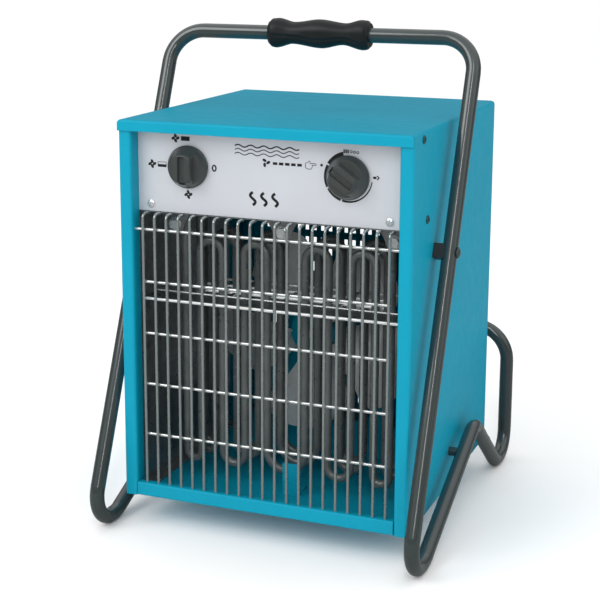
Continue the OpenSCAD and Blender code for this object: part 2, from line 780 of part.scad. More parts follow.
// Half of the rear tube, from the middle of its cross bar: riser, rear foot and run to the joint
rear_steps = [
    [0, 90, rear_bend, 0],
    [rear_bar_z - tube_r - rear_bend - heel_bend, 90, heel_bend, -90],
    step([[rear_heel[0], rear_bar_z], rear_heel, rear_toe, apex], [heel_bend, heel_bend], 0)
];

// Handle, legs, feet and lower legs as a round bar; extra lengthens the open ends
module front_bar(r, extra) {
    last = round2(norm(joint_at - apex) - setback(heel, apex, rear_toe, apex_bend)) + extra;
    bar_x(handle_corner[0], handle_corner[1], handle_bend - stand_x, stand_x - handle_bend, r);
    for (s = [0, 1]) mirror([s, 0, 0])
        translate([stand_x - handle_bend, handle_corner[0], handle_corner[1]]) rotate([-lean, 0, 0])
            rotate([0, 90, 0]) bar_run(concat(front_steps, [[last]]), r);
}

// Rear cross bar, risers and rear feet as a round bar; extra lengthens the open ends
module rear_bar(r, extra) {
    last = round2(norm(rear_toe - joint_at) - setback(rear_heel, rear_toe, apex, heel_bend)) + extra;
    bar_x(rear_heel[0], rear_bar_z, rear_bend - stand_x, stand_x - rear_bend, r);
    for (s = [0, 1]) mirror([s, 0, 0])
        translate([stand_x - rear_bend, rear_heel[0], rear_bar_z]) rotate([0, 90, 0])
            bar_run(concat(rear_steps, [[last]]), r);
}

// Places a child at a joint screw, pointing up out of the tube
module joint_screw_place(s) {
    at = joint_at + joint_dir * 8;
    translate([s * stand_x, at[0], at[1]]) rotate([atan2(joint_dir[1], joint_dir[0]), 0, 0])
        translate([0, 0, tube_r]) children();
}

module stand_front_tube() color(tube_grey) difference() {
    front_bar(tube_r, 0);
    front_bar(bore_r, 1);
    for (s = [0, 1]) mirror([s, 0, 0]) {
        bar_x(upper_bolt_y, upper_bolt_z, half_w, bolt_x + 5, bolt_r + 0.1);
        bar_x(lower_bolt_y, lower_bolt_z, half_w, stand_x, bolt_r + 0.1);
    }
}

module stand_rear_tube() color(tube_grey) difference() {
    rear_bar(tube_r, -0.4);
    rear_bar(bore_r, 1);
    for (s = [-1, 1]) joint_screw_place(s) translate([0, 0, -6]) cylinder(h = 12, r = hole_r);
}

// Inner sleeves that join the front and rear tubes
module stand_joint_sleeves() color("silver")
    for (s = [-1, 1]) difference() {
        translate([s * stand_x, joint_at[0], joint_at[1]])
            rotate([atan2(joint_dir[1], joint_dir[0]) - 90, 0, 0]) difference() {
                cylinder(h = 44, r = bore_r - 0.05, center = true);
                cylinder(h = 46, r = bore_r - 1.6, center = true);
            }
        joint_screw_place(s) translate([0, 0, -6]) cylinder(h = 12, r = hole_r);
    }

module stand_joint_screws() color("silver")
    for (s = [-1, 1]) joint_screw_place(s) translate([0, 0, -0.35]) difference() {
        pan_screw(4);
        bar_y(0, -tube_r + 0.35, -10, 10, tube_r + 0.001);
    }

// Moulded rubber grip with flared ends
module handle_grip() color("black")
    translate([-grip_l / 2, handle_corner[0], handle_corner[1]]) rotate([0, 90, 0]) rotate_extrude()
        polygon([[tube_r + 0.05, 0], [13, 0], [15, 2], [15.2, 6], [14.2, 12], [11.8, 20], [11.6, 26], [13.4, 38],
                 [15, grip_l / 2], [13.4, grip_l - 38], [11.6, grip_l - 26], [11.8, grip_l - 20],
                 [14.2, grip_l - 12], [15.2, grip_l - 6], [15, grip_l - 2], [13, grip_l],
                 [tube_r + 0.05, grip_l]]);

// Plastic saddles between the casing's sides and the leaning legs
module upper_spacers() color("black")
    for (s = [0, 1]) mirror([s, 0, 0]) difference() {
        translate([half_w, upper_bolt_y, upper_bolt_z]) rotate([-lean, 0, 0])
            block([0, -7, -7], [tube_gap + 4, 7, 7]);
        translate([stand_x, upper_bolt_y, upper_bolt_z]) rotate([-lean, 0, 0]) translate([0, 0, -14])
            cylinder(h = 28, r = tube_r + 0.02);
        bar_x(upper_bolt_y, upper_bolt_z, half_w - 1, stand_x, bolt_r + 0.1);
    }

// Round distance bushes between the casing's sides and the lower legs
module lower_spacers() color(tube_grey)
    for (s = [0, 1]) mirror([s, 0, 0]) difference() {
        bar_x(lower_bolt_y, lower_bolt_z, half_w, half_w + tube_gap + 3, bush_out_r);
        translate([stand_x, lower_bolt_y, lower_bolt_z])
            rotate([atan2(lower_dir[1], lower_dir[0]) - 90, 0, 0]) translate([0, 0, -14])
                cylinder(h = 28, r = tube_r + 0.02);
        bar_x(lower_bolt_y, lower_bolt_z, half_w - 1, stand_x, bolt_r + 0.1);
    }

// Bolts through the tube and spacer into a nut inside the casing
module upper_bolts() color("dimgray")
    for (s = [0, 1]) mirror([s, 0, 0]) {
        bar_x(upper_bolt_y, upper_bolt_z, inner_x - 6.2, bolt_x + 0.6, bolt_r);
        translate([bolt_x + 0.5, upper_bolt_y, upper_bolt_z]) rotate([0, 90, 0]) intersection() {
            cylinder(h = 2.6, r = 5.5);
            translate([0, 0, -4.9]) sphere(r = 7.5);
        }
        translate([inner_x - 5, upper_bolt_y, upper_bolt_z]) rotate([0, 90, 0])
            cylinder(h = 5, r = 5.8, $fn = 6);
    }

// Bolts from inside the casing into the stand's lower legs
module lower_bolts() color("dimgray")
    for (s = [0, 1]) mirror([s, 0, 0]) {
        bar_x(lower_bolt_y, lower_bolt_z, inner_x - 1, stand_x - 1, bolt_r);
        translate([inner_x - 4, lower_bolt_y, lower_bolt_z]) rotate([0, 90, 0])
            cylinder(h = 4, r = 5.8, $fn = 6);
    }

module side_screws() color("dimgray")
    for (s = [0, 1], at = side_screw_at) mirror([s, 0, 0])
        translate([half_w, at[0], at[1]]) rotate([0, 90, 0]) pan_screw(5);

module panel_screws() color("silver")
    for (s = [-1, 1])
        translate([s * panel_screw_x, panel_front, panel_screw_z]) rotate([90, 0, 0]) pan_screw(5);

module rear_screws() color("dimgray")
    for (s = [-1, 1], z = rear_screw_z)
        translate([s * rear_screw_x, back, z]) rotate([-90, 0, 0]) pan_screw(5);

module floor_screws() color("dimgray")
    for (s = [-1, 1], y = floor_screw_y)
        translate([s * floor_screw_x, y, base]) rotate([180, 0, 0]) pan_screw(5);

casing_wrap();
floor_pan();
rear_panel();
control_panel();
control_shelf();
heat_shield_left();
heat_shield_right();
grille_uprights();
grille_cross_wires();
element_rack();
element_floor_bracket();
heating_element_front();
heating_element_middle();
heating_element_rear();
element_bushings();
terminal_studs();
terminal_nuts();
star_link();
element_leads();
element_hangers();
hanger_bolts();
fan_blades();
fan_nut();
motor_shaft();
fan_motor();
motor_bracket();
motor_screws();
rotary_switch();
switch_shaft();
switch_knob();
thermostat();
thermostat_shaft();
thermostat_knob();
bush_nuts();
capillary_tube();
sensor_bulb();
bulb_clip();
contactor();
terminal_block();
mains_loom();
control_loom();
cable_gland();
gland_cap();
gland_locknut();
overheat_cutout();
reset_button();
stand_front_tube();
stand_rear_tube();
stand_joint_sleeves();
stand_joint_screws();
handle_grip();
upper_spacers();
upper_bolts();
lower_spacers();
lower_bolts();
side_screws();
panel_screws();
rear_screws();
floor_screws();
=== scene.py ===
import json
import math
import random

import bmesh
import bpy
from mathutils import Matrix, Vector

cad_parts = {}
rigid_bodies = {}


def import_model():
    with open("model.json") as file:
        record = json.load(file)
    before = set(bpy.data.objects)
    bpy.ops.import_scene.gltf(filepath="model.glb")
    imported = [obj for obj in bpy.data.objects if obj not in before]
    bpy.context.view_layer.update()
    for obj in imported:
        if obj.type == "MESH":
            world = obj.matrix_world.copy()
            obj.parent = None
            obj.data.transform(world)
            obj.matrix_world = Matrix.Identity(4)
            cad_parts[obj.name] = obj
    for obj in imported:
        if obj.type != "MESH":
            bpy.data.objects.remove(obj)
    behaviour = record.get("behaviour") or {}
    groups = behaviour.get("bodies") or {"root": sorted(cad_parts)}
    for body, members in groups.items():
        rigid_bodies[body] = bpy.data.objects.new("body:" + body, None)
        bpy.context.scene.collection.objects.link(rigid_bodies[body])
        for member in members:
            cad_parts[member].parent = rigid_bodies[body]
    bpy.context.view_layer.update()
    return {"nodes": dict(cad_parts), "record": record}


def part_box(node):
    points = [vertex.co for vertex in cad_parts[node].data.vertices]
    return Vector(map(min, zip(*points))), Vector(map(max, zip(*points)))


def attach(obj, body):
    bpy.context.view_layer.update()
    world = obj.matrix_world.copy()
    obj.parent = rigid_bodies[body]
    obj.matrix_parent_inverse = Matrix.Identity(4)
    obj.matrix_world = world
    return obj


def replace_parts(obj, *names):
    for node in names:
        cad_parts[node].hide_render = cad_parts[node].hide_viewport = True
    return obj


for old in list(bpy.data.objects):
    bpy.data.objects.remove(old)

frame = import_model()
nodes = frame["nodes"]
MM = 0.001

# Places taken from the frame
PANEL_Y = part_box("control_panel")[0][1]
KNOB_Z = sum(v[2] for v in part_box("switch_shaft")) / 2
SWITCH_X = sum(v[0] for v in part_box("switch_shaft")) / 2
THERMO_X = sum(v[0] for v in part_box("thermostat_shaft")) / 2


# ---------------------------------------------------------------- materials

def linear(rgb):
    """Linear colour from 0-255 sRGB."""
    return [((c / 255 + 0.055) / 1.055) ** 2.4 if c > 10 else c / 255 / 12.92 for c in rgb]


def surface(name, rgb, rough, metal=0.0, coat=0.0, coat_rough=0.1, tint=0.06, tint_scale=14.0, rough_var=0.08,
            grain=1400.0, grain_height=0.00002, wave=0.0, soft_edge=0.0, speck=0.0, speck_rgb=(200, 200, 200),
            specular=0.5, painted_shade_top_rgb=None):
    """A procedural material: tone and gloss drift slowly, and fine grain and slow waviness come from bump.
    Faces that look straight up can take a painted shade colour, given as the last argument."""
    m = bpy.data.materials.new(name)
    m.use_nodes = True
    tree = m.node_tree
    tree.nodes.clear()
    new, link = tree.nodes.new, tree.links.new
    out = new("ShaderNodeOutputMaterial")
    bsdf = new("ShaderNodeBsdfPrincipled")
    link(bsdf.outputs[0], out.inputs[0])
    coord = new("ShaderNodeTexCoord")

    def noise(scale, detail=3.0):
        n = new("ShaderNodeTexNoise")
        n.inputs["Scale"].default_value = scale
        n.inputs["Detail"].default_value = detail
        n.inputs["Roughness"].default_value = 0.55
        link(coord.outputs["Object"], n.inputs["Vector"])
        return n

    base = linear(rgb)
    ramp = new("ShaderNodeValToRGB")
    ramp.color_ramp.elements[0].position = 0.3
    ramp.color_ramp.elements[1].position = 0.7
    ramp.color_ramp.elements[0].color = [c * (1 - tint) for c in base] + [1]
    ramp.color_ramp.elements[1].color = [min(1, c * (1 + tint)) for c in base] + [1]
    link(noise(tint_scale).outputs["Fac"], ramp.inputs[0])
    colour = ramp.outputs[0]
    if speck:
        spots = new("ShaderNodeTexVoronoi")
        spots.inputs["Scale"].default_value = 420.0
        link(coord.outputs["Object"], spots.inputs["Vector"])
        keep = new("ShaderNodeMapRange")
        keep.inputs["From Min"].default_value = 0.10
        keep.inputs["From Max"].default_value = 0.02
        keep.inputs["To Max"].default_value = speck
        link(spots.outputs["Distance"], keep.inputs["Value"])
        mix = new("ShaderNodeMix")
        mix.data_type = "RGBA"
        link(keep.outputs[0], mix.inputs[0])
        link(colour, mix.inputs[6])
        mix.inputs[7].default_value = linear(speck_rgb) + [1]
        colour = mix.outputs[2]
    # Painted shade: faces that look straight up take the given shade colour in place of their own tone
    if painted_shade_top_rgb:
        facing = new("ShaderNodeSeparateXYZ")
        link(new("ShaderNodeNewGeometry").outputs["Normal"], facing.inputs[0])
        painted_shade_upward = new("ShaderNodeMapRange")
        painted_shade_upward.inputs["From Min"].default_value = 0.9
        painted_shade_upward.inputs["From Max"].default_value = 0.99
        link(facing.outputs["Z"], painted_shade_upward.inputs["Value"])
        mix = new("ShaderNodeMix")
        mix.data_type = "RGBA"
        link(painted_shade_upward.outputs[0], mix.inputs[0])
        link(colour, mix.inputs[6])
        mix.inputs[7].default_value = linear(painted_shade_top_rgb) + [1]
        colour = mix.outputs[2]
    link(colour, bsdf.inputs["Base Color"])
    gloss = new("ShaderNodeMapRange")
    gloss.inputs["From Min"].default_value = 0.3
    gloss.inputs["From Max"].default_value = 0.7
    gloss.inputs["To Min"].default_value = max(0.02, rough - rough_var)
    gloss.inputs["To Max"].default_value = min(1, rough + rough_var)
    link(noise(70.0, 5.0).outputs["Fac"], gloss.inputs["Value"])
    link(gloss.outputs[0], bsdf.inputs["Roughness"])
    normal = None
    if soft_edge:
        edge = new("ShaderNodeBevel")
        edge.samples = 4
        edge.inputs["Radius"].default_value = soft_edge
        normal = edge.outputs[0]
    for scale, height, detail in ((45.0, wave, 1.0), (grain, grain_height, 2.0)):
        if not height:
            continue
        bump = new("ShaderNodeBump")
        bump.inputs["Strength"].default_value = 1.0
        bump.inputs["Distance"].default_value = height
        link(noise(scale, detail).outputs["Fac"], bump.inputs["Height"])
        if normal:
            link(normal, bump.inputs["Normal"])
        normal = bump.outputs[0]
    if normal:
        link(normal, bsdf.inputs["Normal"])
    bsdf.inputs["Metallic"].default_value = metal
    bsdf.inputs["Specular IOR Level"].default_value = specular
    bsdf.inputs["Coat Weight"].default_value = coat
    bsdf.inputs["Coat Roughness"].default_value = coat_rough
    return m


MATERIALS = {
    "casing_paint": surface("teal_powder_coat", (3, 143, 170), 0.42, tint=0.03, grain=2400,
        grain_height=0.000012, wave=0.00006, soft_edge=0.0008, rough_var=0.05, specular=0.14),
    "tube_paint": surface("grey_gloss_coat", (44, 53, 53), 0.24, coat=0.85, coat_rough=0.06, tint=0.05,
        grain=1800, grain_height=0.0000015, wave=0.00001, rough_var=0.03),
    "panel_paint": surface("panel_silver", (198, 202, 208), 0.42, metal=0.25, tint=0.025, grain=3000,
        grain_height=0.000006, rough_var=0.06, soft_edge=0.0005),
    "wire_steel": surface("plated_wire", (174, 182, 181), 0.26, metal=0.85, tint=0.05, tint_scale=60,
        grain=900, grain_height=0.0000015, rough_var=0.04),
    "plain_steel": surface("zinc_plate", (226, 229, 230), 0.26, metal=0.7, tint=0.08, tint_scale=120,
        grain=1600, grain_height=0.00001, soft_edge=0.0003),
    "dark_steel": surface("black_oxide", (52, 53, 55), 0.36, metal=0.7, tint=0.12, tint_scale=120,
        grain=1600, grain_height=0.00001, soft_edge=0.0003),
    "galvanised": surface("galvanised_sheet", (150, 153, 155), 0.36, metal=0.85, tint=0.18, tint_scale=90,
        grain=700, grain_height=0.00001, rough_var=0.12, soft_edge=0.0004),
    "element_sheath": surface("oxidised_sheath", (112, 117, 117), 0.34, metal=0.5, tint=0.14,
        tint_scale=55, grain=1100, grain_height=0.000012, rough_var=0.1, speck=0.15,
        speck_rgb=(120, 118, 112)),
    "fan_metal": surface("fan_sheet", (226, 230, 231), 0.36, metal=0.35, tint=0.08, tint_scale=30,
        grain=900, grain_height=0.00001, soft_edge=0.0004),
    "motor_metal": surface("cast_motor", (112, 114, 116), 0.5, metal=0.6, tint=0.12, grain=900,
        grain_height=0.00006, soft_edge=0.0006),
    "brass_parts": surface("brass_strip", (190, 150, 80), 0.3, metal=1.0, tint=0.1, tint_scale=80,
        soft_edge=0.0003),
    "copper_parts": surface("copper_tube", (176, 112, 82), 0.32, metal=1.0, tint=0.12, tint_scale=80),
    "bushing_white": surface("glazed_bushing", (222, 216, 202), 0.18, tint=0.04, grain_height=0.000005),
    "knob_plastic": surface("knob_grey", (54, 58, 57), 0.31, tint=0.03, tint_scale=60, grain=2600,
        grain_height=0.000008, rough_var=0.02),
    "black_plastic": surface("moulded_black", (26, 27, 28), 0.45, tint=0.06, grain=2200,
        grain_height=0.00002, soft_edge=0.0004),
    "block_plastic": surface("moulded_natural", (206, 200, 184), 0.48, tint=0.04, grain=1800,
        grain_height=0.00002, soft_edge=0.0004),
    "red_plastic": surface("moulded_red", (170, 30, 26), 0.35, tint=0.05, soft_edge=0.0004),
    "grip_rubber": surface("grip_rubber", (26, 29, 30), 0.36, tint=0.08, tint_scale=60, grain=1500,
        grain_height=0.000025, rough_var=0.08, specular=0.22),
    "wire_sleeve": surface("woven_sleeve", (30, 30, 31), 0.7, tint=0.15, tint_scale=900, grain=1300,
        grain_height=0.00012),
    # The rack tray: bright on its sides and edges, with a painted dark shade, (74, 80, 80), on faces that look
    # straight up
    "painted_shade_tray": surface("painted_shade_tray", (242, 244, 244), 0.3, metal=0.35, tint=0.06, tint_scale=60,
        grain=800, grain_height=0.000008, painted_shade_top_rgb=(74, 80, 80)),
    # The cross wires: the same plated steel as the uprights, painted lighter as a highlight
    "wire_painted_highlight": surface("wire_painted_highlight", (226, 229, 228), 0.25, metal=0.75, tint=0.06, tint_scale=60,
        grain=900, grain_height=0.000003, rough_var=0.04),
    "tinted_screw": surface("tinted_screw", (58, 92, 98), 0.25, metal=0.6, tint=0.06, tint_scale=120,
        grain=1600, grain_height=0.000008, soft_edge=0.0004),
    "ink": surface("printed_ink", (16, 16, 18), 0.5, tint=0.05, tint_scale=300, grain_height=0.000004),
}

# Nodes whose finish differs a little from the rest of their slot; the rack tray's finish paints shade on its
# upward faces, and the cross wires' finish is a lighter copy of the wire steel, a painted highlight
FINER = {"element_rack": "painted_shade_tray", "grille_cross_wires": "wire_painted_highlight", "side_screws": "tinted_screw",
         "upper_bolts": "tube_paint", "lower_bolts": "tube_paint"}
for part in frame["record"]["subparts"]:
    data = nodes[part["node"]].data
    data.materials.clear()
    data.materials.append(MATERIALS[FINER.get(part["node"], part["material_slot"])])


# ---------------------------------------------------------------- mesh tools

def piece(name, mesh, slot, body, smooth=True, angle=40):
    """Links a mesh as a piece that rides on a body and takes its finish from a slot."""
    o = bpy.data.objects.new(name, mesh)
    bpy.context.scene.collection.objects.link(o)
    mesh.materials.append(MATERIALS[slot])
    if smooth:
        mesh.polygons.foreach_set("use_smooth", [True] * len(mesh.polygons))
        mesh.set_sharp_from_angle(angle=math.radians(angle))
    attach(o, body)
    return o


def to_mesh(name, bm):
    bmesh.ops.recalc_face_normals(bm, faces=bm.faces)
    mesh = bpy.data.meshes.new(name)
    bm.to_mesh(mesh)
    bm.free()
    return mesh


def rings_mesh(name, rings, closed=False):
    """A tube of equal rings of points, capped at both ends unless it closes on itself."""
    bm = bmesh.new()
    rows = [[bm.verts.new(p) for p in ring] for ring in rings]
    pairs = list(zip(rows, rows[1:]))
    if closed:
        pairs.append((rows[-1], rows[0]))
    for a, b in pairs:
        n = len(a)
        for i in range(n):
            bm.faces.new((a[i], a[(i + 1) % n], b[(i + 1) % n], b[i]))
    if not closed:
        bm.faces.new(rows[0])
        bm.faces.new(rows[-1])
    return to_mesh(name, bm)


def smooth_step(a, b, v):
    t = min(1, max(0, (v - a) / (b - a)))
    return t * t * (3 - 2 * t)


def follow(table, v):
    """Smooth interpolation in a table of (place, value)."""
    for (a, p), (b, q) in zip(table, table[1:]):
        if v <= b:
            return p + (q - p) * smooth_step(a, b, v)
    return table[-1][1]


# ---------------------------------------------------------------- knobs

KNOB_R = 21.0         # outer radius of the skirt, mm
SKIRT_R = 20.3        # where the skirt rounds over into the cone
SKIRT_H = 3.4
CAP_R = 13.4          # radius of the flat face
CAP_H = 17.5          # height of the flat face
LEDGE_V = 10          # half-width of the grip


def knob_height(u, v):
    """Height of the knob above the panel side, mm: u along the grip towards the pointer, v across it."""
    r = math.hypot(u, v)
    if r > SKIRT_R:
        return SKIRT_H - 0.5 * ((r - SKIRT_R) / (KNOB_R - SKIRT_R)) ** 2
    cone = SKIRT_H + (SKIRT_R - r) / (SKIRT_R - CAP_R) * 14.2
    h = min(cone, CAP_H) - 0.55 * math.exp(-((cone - CAP_H) / 0.9) ** 2)
    ledge = 9.4 - 0.09 * (abs(v) - LEDGE_V)
    if h > ledge:
        h += (ledge - h) * smooth_step(LEDGE_V - 1.1, LEDGE_V + 0.1, abs(v))
    across = 1 - smooth_step(3.0, 3.5, abs(v))
    along = (1 - smooth_step(11.2, 11.9, -u)) * (1 - smooth_step(15.2, 15.6, u))
    h -= 3.2 * across * along * smooth_step(12.0, 14.0, h)
    pointer = (1 - smooth_step(0.35, 0.6, abs(v))) * smooth_step(8, 9, u)
    return h - 0.45 * pointer


def make_knob(name, x, angle, body, node):
    """angle is where the pointer stands, clockwise from straight up."""
    face_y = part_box(node)[1][1]
    steps = 176
    spokes = [(math.cos(2 * math.pi * t / steps), math.sin(2 * math.pi * t / steps)) for t in range(steps)]
    local = [[(KNOB_R * c, KNOB_R * s, h) for c, s in spokes] for h in (0.0, 2.7)]
    for r in [20.9, 20.65] + [SKIRT_R - 0.29 * i for i in range(70)]:
        local.append([(r * c, r * s, knob_height(r * c, r * s)) for c, s in spokes])
    c, s = math.cos(math.radians(angle)), math.sin(math.radians(angle))
    rings = [[(x + (u * s - v * c) * MM, face_y - h * MM, KNOB_Z + (u * c + v * s) * MM) for u, v, h in ring]
             for ring in local]
    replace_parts(piece(name, rings_mesh(name, rings), "knob_plastic", body, angle=50), node)


make_knob("switch_knob_moulded", SWITCH_X, 180, "switch", "switch_knob")
make_knob("thermostat_knob_moulded", THERMO_X, 305, "thermostat_control", "thermostat_knob")


# ---------------------------------------------------------------- printed marks

def corners(x, z, w, h):
    return [(x - w / 2, z - h / 2), (x + w / 2, z - h / 2), (x + w / 2, z + h / 2), (x - w / 2, z + h / 2)]


def oval(x, z, rx, rz, n):
    turns = [2 * math.pi * k / n for k in range(n)]
    return [(x + rx * math.cos(a), z + rz * math.sin(a)) for a in turns]


class Print:
    """Ink on the control panel, as thin closed plates."""

    def __init__(self):
        self.bm = bmesh.new()

    def plate(self, points):
        y0, y1 = PANEL_Y + 0.00001, PANEL_Y - 0.00009
        back = [self.bm.verts.new((x * MM, y0, z * MM)) for x, z in points]
        front = [self.bm.verts.new((x * MM, y1, z * MM)) for x, z in points]
        n = len(points)
        self.bm.faces.new(front)
        self.bm.faces.new(back[::-1])
        for i in range(n):
            self.bm.faces.new((front[i], front[(i + 1) % n], back[(i + 1) % n], back[i]))

    def ribbon(self, inner, outer, closed=False):
        """Quads between two rows of points."""
        n = len(inner)
        for i in range(n if closed else n - 1):
            j = (i + 1) % n
            self.plate([inner[i], inner[j], outer[j], outer[i]])

    def rect(self, x, z, w, h):
        self.plate(corners(x, z, w, h))

    def frame_rect(self, x, z, w, h, t):
        self.ribbon(corners(x, z, w - 2 * t, h - 2 * t), corners(x, z, w, h), closed=True)

    def disc(self, x, z, r):
        self.plate(oval(x, z, r, r, 28))

    def ring(self, x, z, rx, rz, t):
        self.ribbon(oval(x, z, rx - t, rz - t, 40), oval(x, z, rx, rz, 40), closed=True)

    def arc(self, x, z, a0, a1, r_out, thick0, thick1):
        """Clockwise from straight up, with the thickness running from thick0 to thick1."""
        n = max(3, int(abs(a1 - a0) / 3))
        inner, outer = [], []
        for k in range(n + 1):
            f = k / n
            a = math.radians(a0 + (a1 - a0) * f)
            t = thick0 + (thick1 - thick0) * f
            outer.append((x + r_out * math.sin(a), z + r_out * math.cos(a)))
            inner.append((x + (r_out - t) * math.sin(a), z + (r_out - t) * math.cos(a)))
        self.ribbon(inner, outer)

    def fan(self, x, z, size, blades=4):
        for b in range(blades):
            a0 = 2 * math.pi * b / blades
            points = []
            for k in range(20):
                t = 2 * math.pi * k / 20
                u = 0.29 + 0.23 * math.cos(t)
                v = 0.18 * math.sin(t) + 0.34 * (u - 0.25)
                points.append((x + size * (u * math.cos(a0) - v * math.sin(a0)),
                               z + size * (u * math.sin(a0) + v * math.cos(a0))))
            self.plate(points)

    def path(self, points, t):
        """A line of constant width through points."""
        left, right = [], []
        for i, p in enumerate(points):
            a = points[max(0, i - 1)]
            b = points[min(len(points) - 1, i + 1)]
            d = math.hypot(b[0] - a[0], b[1] - a[1]) or 1
            nx, nz = -(b[1] - a[1]) / d * t / 2, (b[0] - a[0]) / d * t / 2
            left.append((p[0] + nx, p[1] + nz))
            right.append((p[0] - nx, p[1] - nz))
        self.ribbon(left, right)

    def finish(self, name):
        o = piece(name, to_mesh(name, self.bm), "ink", "housing", smooth=False)


ink = Print()
sx, tx, kz = SWITCH_X / MM, THERMO_X / MM, KNOB_Z / MM
FAN = 8.4

# the switch: fan with full heat, fan with half heat, fan alone, off
ink.fan(sx - 13.8, kz + 27.2, FAN)
ink.rect(sx - 3.3, kz + 27.2, 9.2, 4.4)
ink.fan(sx - 39.4, kz + 0.6, FAN)
ink.frame_rect(sx - 28.6, kz + 0.6, 9.4, 5.2, 0.5)
ink.rect(sx - 28.6, kz - 0.6, 8.6, 2.6)
ink.fan(sx - 0.6, kz - 27.4, FAN)
ink.ring(sx + 27.2, kz + 0.2, 2.6, 3.5, 1.5)

# the thermostat: a scale that grows thicker clockwise, with marks at its ends
for a0, a1, t0, t1 in ((97, 195, 1.0, 1.9), (199, 240, 2.0, 2.4), (244, 297, 2.4, 3.0), (301, 347, 3.2, 4.0)):
    ink.arc(tx, kz, a0, a1, 23.2 + t1 / 3, t0, t1)
for k in range(3):
    ink.rect(tx - 4.4 + 1.9 * k, kz + 24.4, 1.45, 3.6)
for k in range(3):
    ink.ring(tx + 2.4 + 3.3 * k, kz + 24.4 - 0.3 * k, 1.4, 1.4, 0.7)
ink.disc(tx - 26.6, kz + 10.0, 1.35)
ink.path([(tx + 24.2, kz + 1.4), (tx + 27.4, kz + 1.4)], 2.2)
ink.path([(tx + 28.0, kz + 3.2), (tx + 30.0, kz + 1.4), (tx + 28.0, kz - 0.4)], 1.4)

# a pointing hand, in outline
hand = [(-6, -2.6), (-6.2, 1.6), (-3.4, 3.2), (-1.6, 4.4), (-0.8, 3.6), (-1.8, 2.0), (4.6, 2.0), (5.4, 1.2),
        (4.6, 0.3), (0.6, 0.3), (1.4, -0.6), (0.8, -1.4), (1.0, -2.2), (0.2, -2.8), (-0.2, -3.6),
        (-3.0, -3.8), (-6, -2.6)]
ink.path([(tx - 37.0 + px * 0.95, kz + 9.0 + pz * 0.95) for px, pz in hand], 0.6)

# generic heat and air marks in the middle of the panel
for row, thick in enumerate((1.3, 0.9, 0.9)):
    ink.path([(-33 + k * 1.1, 394.6 - row * 3.8 + 1.1 * math.sin(k * 0.52)) for k in range(61)], thick)
ink.fan(-1.0, 380.0, 8.6, blades=3)
for k in range(5):
    ink.rect(8.5 + 6.2 * k, 379.6, 4.6, 2.6)
for k in range(3):
    ink.path([(-14.5 + 11.5 * k + 2.7 * math.sin(q * 0.42), 338.0 + q * 0.84) for q in range(16)], 2.7)
ink.finish("panel_marks")


# ---------------------------------------------------------------- rubber grip

def make_grip():
    """Each section is a squircle whose upper, lower and side radii follow tables along the grip."""
    low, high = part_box("handle_grip")
    cy, cz = (low[1] + high[1]) / 2, (low[2] + high[2]) / 2
    x0, length = low[0], high[0] - low[0]
    full = (high[2] - low[2]) / 2 / MM
    upper = [(0, 0.80), (0.03, 0.97), (0.08, 1.0), (0.24, 0.76), (0.5, 0.97), (0.76, 0.76), (0.92, 1.0),
             (0.97, 0.97), (1, 0.80)]
    lower = [(0, 0.80), (0.03, 0.97), (0.06, 1.0), (0.23, 0.72), (0.52, 0.96), (0.74, 0.70), (0.94, 1.0),
             (0.97, 0.97), (1, 0.80)]
    side = [(0, 0.78), (0.04, 0.95), (0.2, 0.84), (0.5, 0.90), (0.8, 0.84), (0.96, 0.95), (1, 0.78)]
    seam = [(0, -6), (0.25, -12), (0.5, -24), (0.75, -16), (1, -34)]
    count, around, power, bore = 130, 96, 2.3, 7.56
    angles = [2 * math.pi * k / around for k in range(around)]
    rings = []
    for i in range(count + 1):
        s = i / count
        top, under, mid = follow(upper, s) * full, follow(lower, s) * full, follow(side, s) * full
        lip = math.radians(follow(seam, s))
        groove_fade = smooth_step(0, 0.12, s) * smooth_step(1, 0.88, s)
        swell_fade = smooth_step(0, 0.1, s) * smooth_step(1, 0.9, s)
        ring = []
        for a in angles:
            ca, sa = math.cos(a), math.sin(a)
            v = top if sa > 0 else under
            r = 1 / ((abs(ca) / mid) ** power + (abs(sa) / v) ** power) ** (1 / power)
            for target in (math.pi - lip, lip):
                d = (a - target + math.pi) % (2 * math.pi) - math.pi
                turn = d if target == lip else -d
                r -= 0.75 * math.exp(-(d / 0.07) ** 2) * groove_fade
                if 0 < turn < 0.6:
                    r += 0.35 * math.exp(-((turn - 0.16) / 0.14) ** 2) * swell_fade
            ring.append((x0 + length * s, cy + r * ca * MM, cz + r * sa * MM))
        rings.append(ring)
    rims = [[(x, cy + (y - cy) * 0.98, cz + (z - cz) * 0.98) for x, y, z in ring]
            for ring in (rings[-1], rings[0])]
    bores = [[(x, cy + bore * MM * math.cos(a), cz + bore * MM * math.sin(a)) for a in angles]
             for x in (x0 + length, x0)]
    rings += [rims[0], bores[0], bores[1], rims[1]]
    mesh = rings_mesh("grip_moulded", rings, closed=True)
    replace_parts(piece("grip_moulded", mesh, "grip_rubber", "housing", angle=60), "handle_grip")


make_grip()


# ---------------------------------------------------------------- weld spots on the grille

def make_welds():
    """A flattened bead, never twice the same, wherever an upright crosses a wire."""
    low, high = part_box("grille_uprights")
    wlow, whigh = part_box("grille_cross_wires")
    wires, crosses, bead = 21, 5, 0.0011
    r = (whigh[1] - wlow[1]) / 2
    left, right = low[0] + r, high[0] - r
    y = wlow[1]
    bm = bmesh.new()
    rnd = random.Random(3)
    for i in range(wires):
        x = left + (right - left) * i / (wires - 1)
        for j in range(crosses):
            z = whigh[2] - r - (whigh[2] - wlow[2] - 2 * r) * j / (crosses - 1)
            m = Matrix.Translation((x, y, z)) @ Matrix.Diagonal((1.25 + 0.2 * rnd.random(), 1.0,
                                                               1.15 + 0.3 * rnd.random(), 1))
            bmesh.ops.create_icosphere(bm, subdivisions=2, radius=bead, matrix=m)
    piece("grille_welds", to_mesh("grille_welds", bm), "wire_steel", "housing", angle=80)


make_welds()


# ---------------------------------------------------------------- fan

